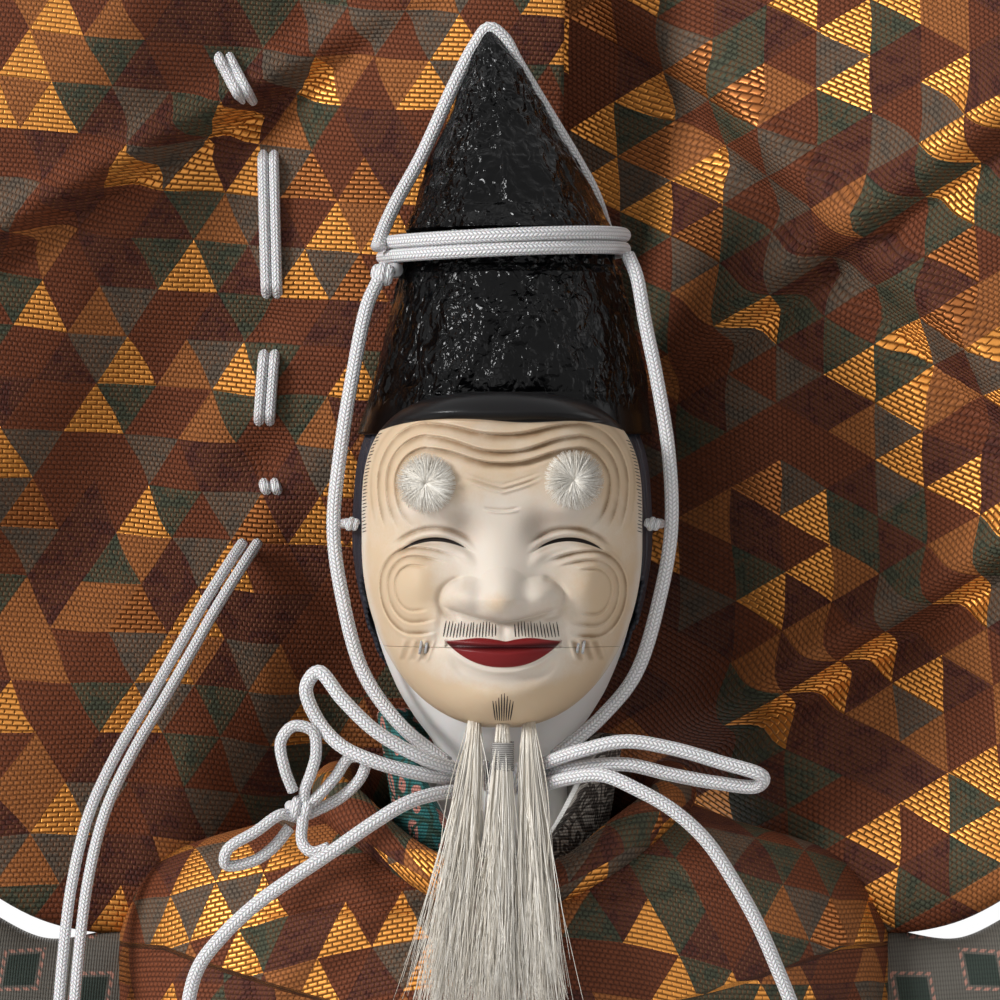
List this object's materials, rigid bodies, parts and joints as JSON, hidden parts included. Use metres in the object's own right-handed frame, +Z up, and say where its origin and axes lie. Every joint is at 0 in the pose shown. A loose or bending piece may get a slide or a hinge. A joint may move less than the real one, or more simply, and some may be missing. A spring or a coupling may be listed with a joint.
{
  "type": "noh doll",
  "caption": "Standing noh dancer doll in a brocade robe and tall black hat, with a lifting old-man mask, a tied jaw, braided cords and a lacquered stand.",
  "frame": {"origin": "centre of the stand's underside", "axes": "+Z up, the doll faces -Y, +X is to the right of someone who looks at the face"},
  "size_m": [0.21, 0.15, 0.4139],
  "materials": {
    "black_lacquer": "black lacquer, high gloss",
    "lacquered_paper": "crinkled black lacquered paper, glossy",
    "steel": "drawn bright rod",
    "white_cotton": "plain white weave, matt",
    "shell_white": "polished shell-white paint over carved wood",
    "bare_wood": "bare turned wood",
    "straw": "bound straw",
    "hair_black": "dressed black silk hair",
    "mask_wood": "ivory paint, shaded brown in its grooves",
    "horsehair": "loose cream white hair",
    "silk_cord": "round white silk braid",
    "grey_thread": "wrapped grey thread",
    "teal_silk": "teal silk with pink woven flowers",
    "grey_silk": "grey silk with dark woven figures",
    "brocade": "gold, copper and green triangle brocade, satin sheen",
    "green_brocade": "grey and dark green brocade with small dots"
  },
  "bodies": {
    "stand": {"stand_plinth": "black_lacquer", "stand_board": "black_lacquer", "support_rod": "steel"},
    "doll": {"left_foot": "white_cotton", "right_foot": "white_cotton", "left_leg_core": "bare_wood", "right_leg_core": "bare_wood", "torso_core": "straw", "left_arm_core": "straw", "right_arm_core": "straw", "left_hand": "shell_white", "right_hand": "shell_white", "neck_peg": "bare_wood", "head": "shell_white", "hair": "hair_black", "hat": "lacquered_paper", "mask_tie_cord": "silk_cord", "hat_cord_apex": "silk_cord", "hat_cord_wrap": "silk_cord", "hat_cord_left": "silk_cord", "hat_cord_right": "silk_cord", "chin_knot": "silk_cord", "chin_bow_left_loop": "silk_cord", "chin_bow_right_loop": "silk_cord", "chin_cord_left_tail": "silk_cord", "chin_cord_right_tail": "silk_cord", "collar_bow_knot": "silk_cord", "collar_bow_loop_1": "silk_cord", "collar_bow_loop_2": "silk_cord", "collar_bow_loop_3": "silk_cord", "sleeve_lacing_1": "silk_cord", "sleeve_lacing_2": "silk_cord", "sleeve_lacing_3": "silk_cord", "sleeve_lacing_4": "silk_cord", "left_sleeve_cord_end_1": "silk_cord", "left_sleeve_cord_end_2": "silk_cord", "under_collar": "white_cotton", "inner_collar_left": "teal_silk", "inner_collar_right": "grey_silk", "robe_collar": "brocade", "robe_body": "brocade", "waist_belt": "brocade", "left_sleeve": "brocade", "right_sleeve": "brocade", "left_inner_sleeve": "green_brocade", "right_inner_sleeve": "green_brocade", "left_hakama": "green_brocade", "right_hakama": "green_brocade"},
    "mask": {"mask_face": "mask_wood", "left_tie_knot": "silk_cord", "right_tie_knot": "silk_cord", "left_brow_tuft": "horsehair", "right_brow_tuft": "horsehair", "left_jaw_tie": "silk_cord", "right_jaw_tie": "silk_cord"},
    "jaw": {"mask_jaw": "mask_wood", "beard_left": "horsehair", "beard_middle": "horsehair", "beard_right": "horsehair", "beard_binding": "grey_thread"}
  },
  "joints": [
    {"name": "figure_lift", "type": "slide", "parent": "stand", "child": "doll", "axis": [0, 0, 1], "range_m": [0, 0.06]},
    {"name": "mask_lift", "type": "hinge", "parent": "doll", "child": "mask", "pos_m": [0, -0.014, 0.347], "axis": [-1, 0, 0], "range_deg": [0, 14]},
    {"name": "jaw_open", "type": "hinge", "parent": "mask", "child": "jaw", "pos_m": [0, -0.011, 0.3187], "axis": [1, 0, 0], "range_deg": [0, 3]}
  ]
}
